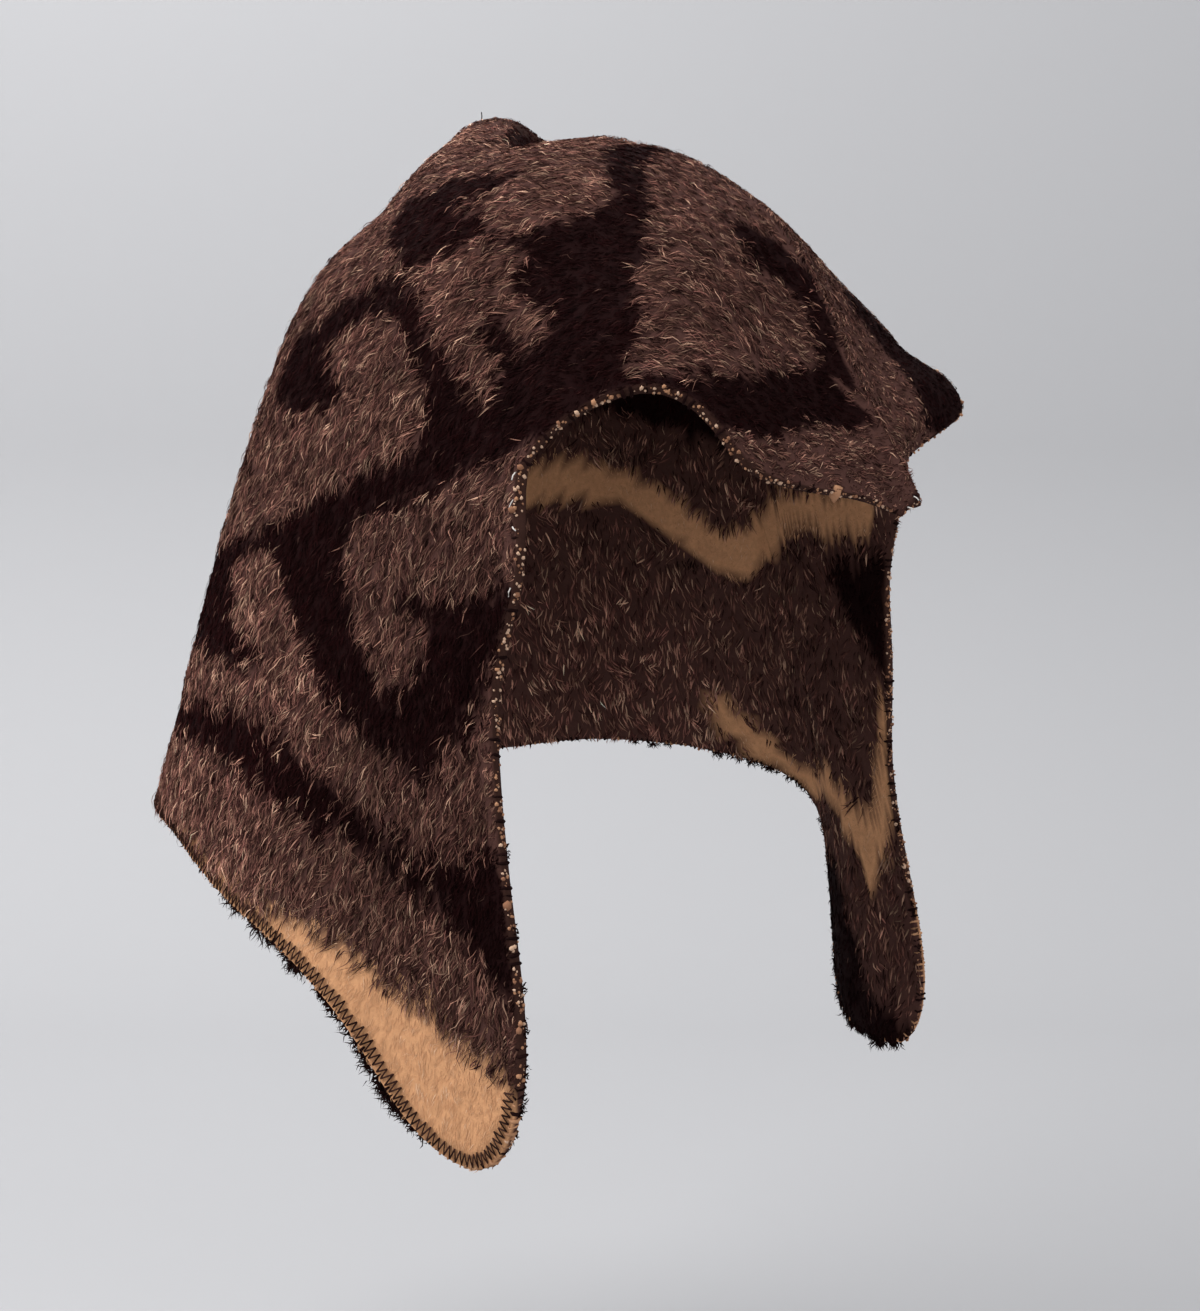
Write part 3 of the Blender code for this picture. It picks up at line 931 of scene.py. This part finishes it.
WORN_ON = {"right": [], "left": []}
nap_wool = nap_finish("nap_wool")
for number, side in enumerate(PANELS):
    rng = np.random.default_rng(NAP_SEED + number)
    mesh = PANELS[side].data
    hem = point_tree(HEMS[side].edge)
    parts = comb(OUTER_PILE, mesh, OUTSIDE, hem, side, OUTER_FIGURES, BARE[side], rng)
    by_height = np.argsort(-parts[0][:, 0, 2])
    for patch, mine in zip(PATCHES, np.array_split(by_height, len(PATCHES))):
        name = side + "_nap_" + patch
        add_piece(name, ribbon_mesh(name, *(part[mine] for part in parts)), nap_wool, side)
    for ending, pile, facing, figures, bare in (
        ("_wavy_hairs", WAVY_HAIRS, OUTSIDE, OUTER_FIGURES, BARE[side]),
        ("_stray_hairs", STRAY_HAIRS, OUTSIDE, OUTER_FIGURES, BARE[side]),
        ("_nap_inside", INNER_PILE, INSIDE, INNER_FIGURES, ()),
    ):
        parts = comb(pile, mesh, facing, hem, side, figures, bare, rng)
        add_piece(side + ending, ribbon_mesh(side + ending, *parts), nap_wool, side)

# Overlocked hem
# The raw edge is bound with dark thread, which shows as a tall zigzag where the nap is short.
# Its wraps pull in the edge, and the pale core wool swells out between them in small pips.
STITCH_PITCH = 2.3 * MM
STITCH_INSET = (0.6 * MM, 4.3 * MM)
STITCH_DEPTHS = (0.85, 1.1)
STITCH_SPREAD = 0.3
STITCH_SIDES = 4
THREAD_RADIUS = 0.27 * MM
THREAD_LIFT = 0.6 * MM
THREAD_SAG = 0.15 * MM
CHART_INSET = 3 * MM
WRAP_RADIUS = 0.50 * MM
WRAP_REACH = 1.3 * MM
WRAP_GAP = 0.1 * MM
WRAP_BITE = 0.2 * MM
WRAP_SCATTER = 0.15 * MM
WRAP_GIRTHS = (0.6, 1.2)
WRAP_TAPER = (0.5, 1, 1.1, 1, 0.5)
WRAP_SPREAD = 0.2
WRAP_SIDES = 5
WRAP_PALE_SHARE = 0.4
WRAP_PALE = (0.40, 0.21, 0.115)
PIP_RADIUS = 0.43 * MM
PIP_SHARES = (0.75, 0.25)
PIPS_AT_A_SPOT = 4
PIP_SCATTER = 0.8 * MM
PIP_HEIGHTS = (-1.1, 1.6)
PIP_JITTER = 0.2 * MM
PIP_SPREAD = 0.35
PIP_LUMPS = (0.65, 1.3)
THREAD_COLOUR = (0.011, 0.0040, 0.0038)
STITCH_COLOUR = (0.032, 0.0145, 0.0110)
PIP_COLOURS = np.array(((0.40, 0.205, 0.115), (0.55, 0.36, 0.25), (0.25, 0.12, 0.07)))
HEM_SEED = 31


def tube_mesh(name, runs, radii, colours, sides):
    """Thin tubes along short runs of points, all with the same number of points."""
    count, stations = runs.shape[:2]
    forward = unit(np.gradient(runs, axis=1))
    helper = np.where(np.abs(forward[:, :, 2:]) > 0.9, (1.0, 0.0, 0.0), (0.0, 0.0, 1.0))
    first = unit(np.cross(forward, helper))[:, :, None, :]
    second = np.cross(forward[:, :, None, :], first)
    turns = (np.arange(sides) * 2 * np.pi / sides)[None, None, :, None]
    points = runs[:, :, None, :] + (first * np.cos(turns) + second * np.sin(turns)) * radii[:, :, None, None]
    rings = [
        (k * sides + m, k * sides + (m + 1) % sides, (k + 1) * sides + (m + 1) % sides, (k + 1) * sides + m)
        for k in range(stations - 1) for m in range(sides)
    ]
    near_end = tuple(range(sides - 1, -1, -1))
    far_end = tuple(range((stations - 1) * sides, stations * sides))
    faces = []
    for index in range(count):
        start = index * stations * sides
        faces += [tuple(start + corner for corner in face) for face in (near_end, *rings, far_end)]
    mesh = bpy.data.meshes.new(name)
    mesh.from_pydata(points.reshape(-1, 3), [], faces)
    paint(mesh, np.repeat(colours, stations * sides, axis=0))
    mesh.shade_smooth()
    return mesh


def pip_mesh(name, places, sizes, colours, rng):
    """Small uneven swellings of wool, all from one low ball."""
    ball = bmesh.new()
    bmesh.ops.create_icosphere(ball, subdivisions=1, radius=1)
    shape = np.array([vert.co[:] for vert in ball.verts])
    corners = np.array([[vert.index for vert in face.verts] for face in ball.faces])
    ball.free()
    reaches = sizes[:, None, None] * rng.uniform(*PIP_LUMPS, (len(places), len(shape), 1))
    faces = corners[None] + np.arange(len(places))[:, None, None] * len(shape)
    points = places[:, None, :] + shape[None] * reaches
    mesh = bpy.data.meshes.new(name)
    mesh.from_pydata(points.reshape(-1, 3), [], faces.reshape(-1, 3).tolist())
    paint(mesh, np.repeat(colours, len(shape), axis=0))
    mesh.shade_smooth()
    return mesh


def along_hem(hem, places):
    """The edge, the cloth's normal and the way in at the given distances along a hem."""
    found = [
        np.stack([np.interp(places, hem.travel, line[:, axis]) for axis in range(3)], axis=1)
        for line in (hem.edge, hem.normal, hem.inward)
    ]
    return found[0], unit(found[1]), unit(found[2])


def uneven(colour, spread, count, rng):
    """One colour, made a little lighter or darker at random for each strand."""
    return np.array(colour) * np.exp(rng.normal(0, spread, count))[:, None]


thread_wool = nap_finish("overlock_thread")
for number, side in enumerate(PANELS):
    rng = np.random.default_rng(HEM_SEED + number)
    hem = HEMS[side]
    count = int(hem.travel[-1] / STITCH_PITCH)
    spots = (np.arange(count) + 0.5) * STITCH_PITCH
    edge, up, into = along_hem(hem, spots)
    places = on_map(edge + into * CHART_INSET)
    on_camel = (figure_colours(places, OUTER_FIGURES, BARE[side]) == CAMEL) | bare_strip(places, 0.0)

    depth = STITCH_INSET[1] * rng.uniform(*STITCH_DEPTHS, count)[:, None]
    high = edge + into * depth + up * THREAD_LIFT
    low_edge, low_up, low_into = along_hem(hem, spots + STITCH_PITCH / 2)
    low = low_edge + low_into * STITCH_INSET[0] + low_up * (THREAD_LIFT + WRAP_GAP)
    rises = np.stack((low[:-1], (low[:-1] + high[1:]) / 2 + up[1:] * THREAD_SAG, high[1:]), axis=1)
    falls = np.stack((high, (high + low) / 2 + up * THREAD_SAG, low), axis=1)
    runs = np.concatenate((rises[on_camel[1:]], falls[on_camel]))
    name = side + "_zigzag"
    radii = np.full(runs.shape[:2], THREAD_RADIUS)
    colours = uneven(STITCH_COLOUR, STITCH_SPREAD, len(runs), rng)
    add_piece(name, tube_mesh(name, runs, radii, colours, STITCH_SIDES), thread_wool, side)

    core = edge - up * CLOTH_THICKNESS / 2
    swollen = rng.random(count) < np.where(on_camel, PIP_SHARES[1], PIP_SHARES[0])
    wraps = np.stack((
        edge + into * WRAP_REACH + up * WRAP_GAP,
        edge + into * WRAP_GAP + up * WRAP_GAP,
        core - into * WRAP_BITE,
        edge + into * WRAP_GAP - up * (CLOTH_THICKNESS + WRAP_GAP),
        edge + into * WRAP_REACH - up * (CLOTH_THICKNESS + WRAP_GAP),
    ), axis=1)[~swollen]
    wraps += rng.normal(0, WRAP_SCATTER, wraps.shape)
    radii = WRAP_RADIUS * rng.uniform(*WRAP_GIRTHS, len(wraps))[:, None] * np.array(WRAP_TAPER)[None]
    pale = on_camel & (rng.random(count) < WRAP_PALE_SHARE)
    colours = np.where(pale[:, None], WRAP_PALE, THREAD_COLOUR)[~swollen]
    colours = colours * np.exp(rng.normal(0, WRAP_SPREAD, len(wraps)))[:, None]
    name = side + "_wraps"
    add_piece(name, tube_mesh(name, wraps, radii, colours, WRAP_SIDES), thread_wool, side)

    pips = np.repeat((core - into * WRAP_GAP)[swollen], PIPS_AT_A_SPOT, axis=0)
    rise = rng.uniform(*PIP_HEIGHTS, len(pips))[:, None]
    pips += np.repeat(up[swollen], PIPS_AT_A_SPOT, axis=0) * rise * MM
    along = np.repeat(np.cross(up, into)[swollen], PIPS_AT_A_SPOT, axis=0)
    pips += along * rng.normal(0, PIP_SCATTER, len(pips))[:, None] + rng.normal(0, PIP_JITTER, pips.shape)
    sizes = PIP_RADIUS * np.exp(rng.normal(0, PIP_SPREAD, len(pips)))
    colours = PIP_COLOURS[rng.integers(0, len(PIP_COLOURS), len(pips))]
    name = side + "_edge_pips"
    add_piece(name, pip_mesh(name, pips, sizes, colours, rng), thread_wool, side)

# Frayed edge
# Dark wool of the inner face that has worked out past the bound edge: clumps of curled fibres
# behind the camel tips, with a short ragged fringe between them.
# Columns: from and to along the hem in metres, clumps, fibres in a clump, and their length.
FRAYS = (
    (0.250, 0.345, 12, 10, 1.6 * MM),
    (0.385, 0.485, 20, 38, 4.6 * MM),
    (0.378, 0.560, 90, 9, 3.5 * MM),
    (0.575, 0.610, 3, 20, 4.2 * MM),
)
FRAY_WIDTH = 0.62 * MM
FRAY_CLUMP = 1.3 * MM
FRAY_DEPTH = 2.6 * MM
FRAY_FAN = 0.6
FRAY_TILT = 0.3
FRAY_SWAY = 0.22
FRAY_WAVES = 4
FRAY_START = 0.3 * MM
FRAY_TAPER = 0.6
FRAY_ROLL = 0.5
FRAY_SPREAD = 0.25
FRAY_CLUMP_SIZES = (0.5, 1.3)
FRAY_FIBRE_SIZES = (0.4, 1.1)
FRAY_DEPTHS = (0.6, 1.2)
FRAY_WIDTHS = (0.7, 1.3)
FRAY_STATIONS = np.array((0.0, 0.3, 0.65, 1.0))
for number, side in enumerate(PANELS):
    rng = np.random.default_rng(HEM_SEED + 10 + number)
    tufts = []
    for start, stop, clumps, fibres, length in FRAYS:
        spots = np.repeat(rng.uniform(start, stop, clumps), fibres)
        sizes = np.repeat(rng.uniform(*FRAY_CLUMP_SIZES, clumps), fibres)
        sizes = sizes * rng.uniform(*FRAY_FIBRE_SIZES, clumps * fibres)
        tufts.append(np.stack((spots + rng.normal(0, FRAY_CLUMP, len(spots)), sizes * length), axis=1))
    spots, length = np.concatenate(tufts).T
    count = len(spots)
    edge, up, into = along_hem(HEMS[side], spots)
    along = np.cross(up, into)
    fan = rng.normal(0, FRAY_FAN, (count, 1)) * along
    heading = unit(-into + fan + rng.normal(0, FRAY_TILT, (count, 1)) * up)
    start = edge - up * FRAY_DEPTH * rng.uniform(*FRAY_DEPTHS, (count, 1)) - into * FRAY_START
    sway = np.sin(rng.uniform(0, 6, (count, 1)) + FRAY_STATIONS[None] * FRAY_WAVES)
    sway = sway * (FRAY_SWAY * length)[:, None]
    lines = start[:, None, :] + heading[:, None, :] * (length[:, None] * FRAY_STATIONS[None])[:, :, None]
    lines += along[:, None, :] * sway[:, :, None]
    widths = FRAY_WIDTH * (1 - FRAY_TAPER * FRAY_STATIONS[None]) * rng.uniform(*FRAY_WIDTHS, (count, 1))
    sideways = unit(np.cross(heading, up) + rng.normal(0, FRAY_ROLL, (count, 3)))
    colours = uneven(THREAD_COLOUR, FRAY_SPREAD, count, rng)[:, None, :]
    colours = np.repeat(colours, len(FRAY_STATIONS), axis=1)
    name = side + "_fray"
    add_piece(name, ribbon_mesh(name, lines, widths, sideways, colours), thread_wool, side)

# Loose threads
# Short cut ends of pale binding thread that stand out of the face edge, and one dark end on the
# peak. Columns: place along the right hem in metres, then the reach inwards, sideways and
# outwards in millimetres.
THREAD_ENDS = (
    (0.004, -1.6, 1.2, 0.6),
    (0.009, -1.9, -0.8, 0.7),
    (0.152, -1.5, 2.6, 0.9),
    (0.159, -1.0, 3.0, 1.2),
    (0.168, -2.0, 2.2, 0.8),
    (0.186, -1.2, 2.4, 1.0),
)
END_RADIUS = 0.20 * MM
END_COLOUR = (0.66, 0.62, 0.58)
END_SIDES = 5
END_ROOT = (0.8 * MM, 0.3 * MM)
END_ARCH = 0.3 * MM
PEAK_THREAD = np.array(((0.0, 0.0, -0.5), (0.3, 0.0, 1.3), (0.1, 0.0, 2.9))) * MM
spots, inwards, sidewards, outwards = np.array(THREAD_ENDS).T[:, :, None]
edge, up, into = along_hem(HEMS["right"], spots[:, 0])
first = edge + into * END_ROOT[0] + up * END_ROOT[1]
reach = (into * inwards + np.cross(up, into) * sidewards + up * outwards) * MM
runs = np.stack((first, first + reach * 0.5 + up * END_ARCH, first + reach), axis=1)
peak = max((vert.co for vert in PANELS["right"].data.vertices), key=lambda place: place.z)
runs = np.concatenate((runs, (np.array(peak[:]) + PEAK_THREAD)[None]))
colours = np.array([END_COLOUR] * len(THREAD_ENDS) + [THREAD_COLOUR])
ends_mesh = tube_mesh("thread_ends", runs, np.full(runs.shape[:2], END_RADIUS), colours, END_SIDES)
add_piece("thread_ends", ends_mesh, thread_wool, "right")
